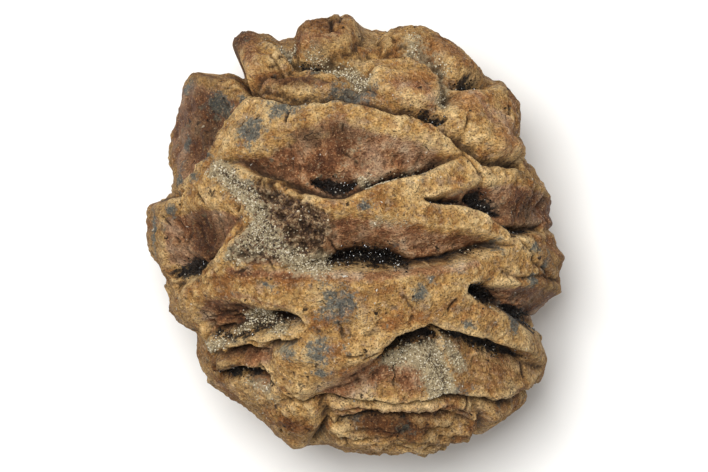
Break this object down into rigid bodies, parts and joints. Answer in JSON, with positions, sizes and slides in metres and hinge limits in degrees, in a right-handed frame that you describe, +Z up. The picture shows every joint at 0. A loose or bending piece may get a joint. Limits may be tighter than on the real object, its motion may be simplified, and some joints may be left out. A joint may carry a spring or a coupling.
{
  "type": "fossil dawn redwood cone",
  "caption": "Petrified conifer seed cone lying on its side, with thick blunt scales in crossed rows and lens-shaped slits between them.",
  "frame": {"origin": "on the resting plane, under the middle of the cone's box", "axes": "+Z up, towards the side that shows; +Y along the cone's axis towards its tip; +X to the right as seen from above"},
  "size_m": [0.0362, 0.038, 0.0281],
  "materials": {
    "fossil_stone": "rough weathered petrified wood, ochre with red-brown hollows and dark slits"
  },
  "bodies": {
    "root": {"fossil_cone": "fossil_stone"}
  },
  "joints": []
}
